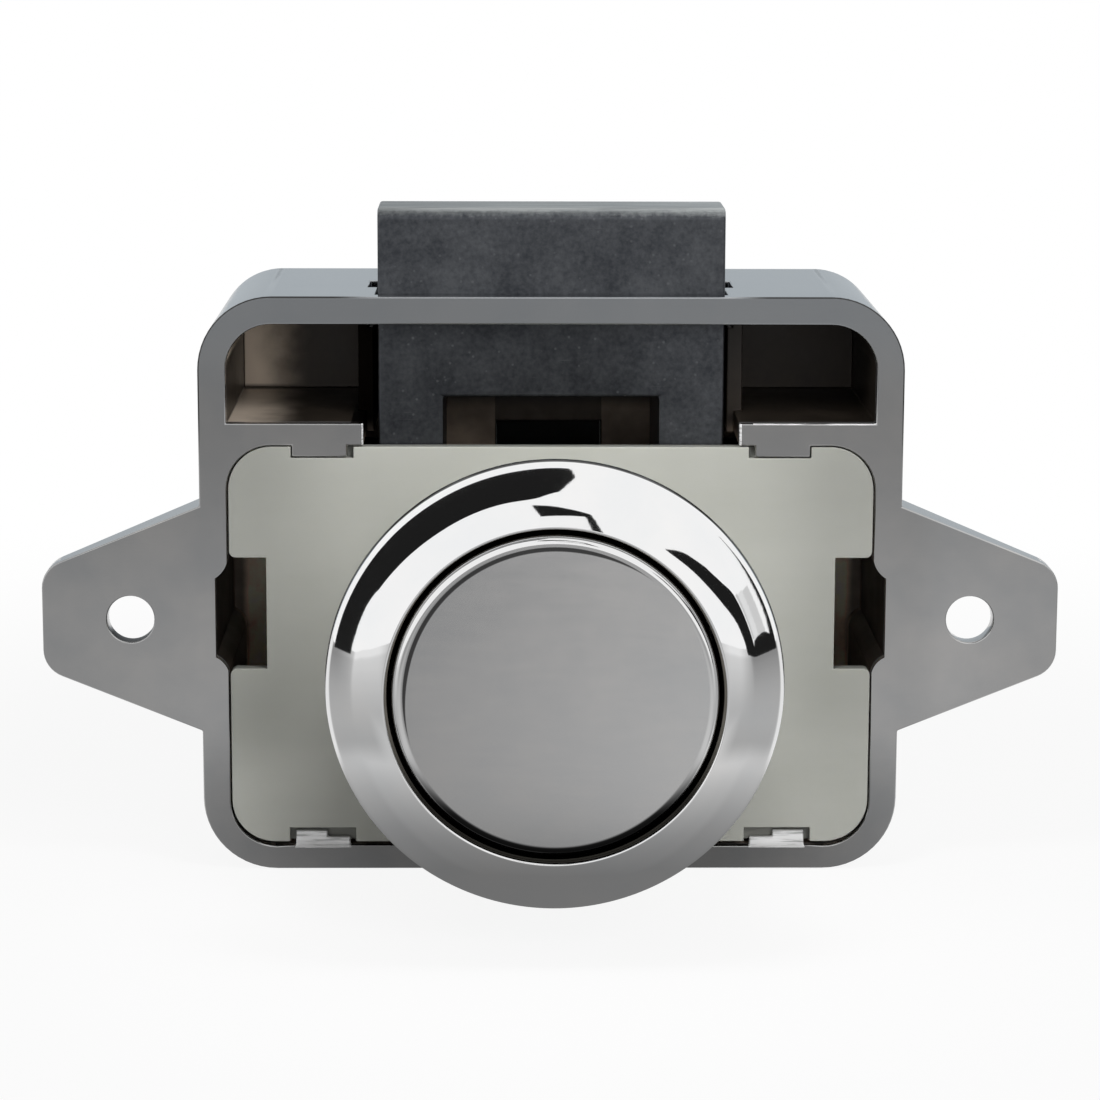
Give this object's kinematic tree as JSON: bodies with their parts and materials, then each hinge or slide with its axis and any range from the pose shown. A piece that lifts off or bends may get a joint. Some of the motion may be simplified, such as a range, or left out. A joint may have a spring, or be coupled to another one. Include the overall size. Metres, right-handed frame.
{
  "type": "push button cabinet lock",
  "caption": "Rim lock for a cabinet or caravan door: plated case with screw ears, nylon carrier, push button in a round rosette, and a spring bolt that the button draws in.",
  "frame": {"origin": "on the button's axis, midway between the two screw holes, in the plane of the case's front, which lies on the door", "axes": "+X to the right across the ears, +Y into the cabinet away from the user, +Z the way the bolt shoots"},
  "size_m": [0.0774, 0.0472, 0.0508],
  "materials": {
    "chrome_plate": "bright chrome plate on a die-cast case, smooth with fine handling marks",
    "chrome_polish": "mirror polished chrome plate",
    "ivory_nylon": "natural moulded nylon, satin",
    "brass_tube": "drawn brass tube, dull",
    "black_plastic": "moulded black plastic, matte",
    "bright_steel": "zinc plated steel",
    "spring_steel": "drawn spring wire",
    "raw_zinc": "raw zinc die-casting, dull grey with scuffs"
  },
  "bodies": {
    "case": {"case": "chrome_plate", "carrier": "ivory_nylon", "plunger_spring": "spring_steel", "bolt_spring_left": "spring_steel", "bolt_spring_right": "spring_steel", "spring_rod_left": "bright_steel", "spring_rod_right": "bright_steel", "latch_wire": "spring_steel", "wire_keeper": "bright_steel", "keeper_screws": "bright_steel"},
    "button": {"button_cap": "chrome_polish", "button_core": "black_plastic", "button_screw": "bright_steel", "spring_washer": "bright_steel", "plunger": "black_plastic", "cam_pin_left": "bright_steel", "cam_pin_right": "bright_steel"},
    "bolt": {"bolt": "raw_zinc"},
    "rosette": {"rosette": "chrome_polish", "rosette_sleeve": "brass_tube"}
  },
  "joints": [
    {"name": "button_slide", "type": "slide", "parent": "case", "child": "button", "axis": [0, -1, 0], "range_m": [-0.001, 0.01], "deforming": ["plunger_spring", "latch_wire"]},
    {"name": "bolt_slide", "type": "slide", "parent": "case", "child": "bolt", "axis": [0, 0, -1], "range_m": [-0.00076, 0.00751], "deforming": ["bolt_spring_left", "bolt_spring_right"]},
    {"name": "rosette_adjust", "type": "slide", "parent": "case", "child": "rosette", "axis": [0, 1, 0], "range_m": [0, 0.003]}
  ],
  "couplings": [
    {"joint": "bolt_slide", "follows": "button_slide", "ratio": 0.75}
  ]
}
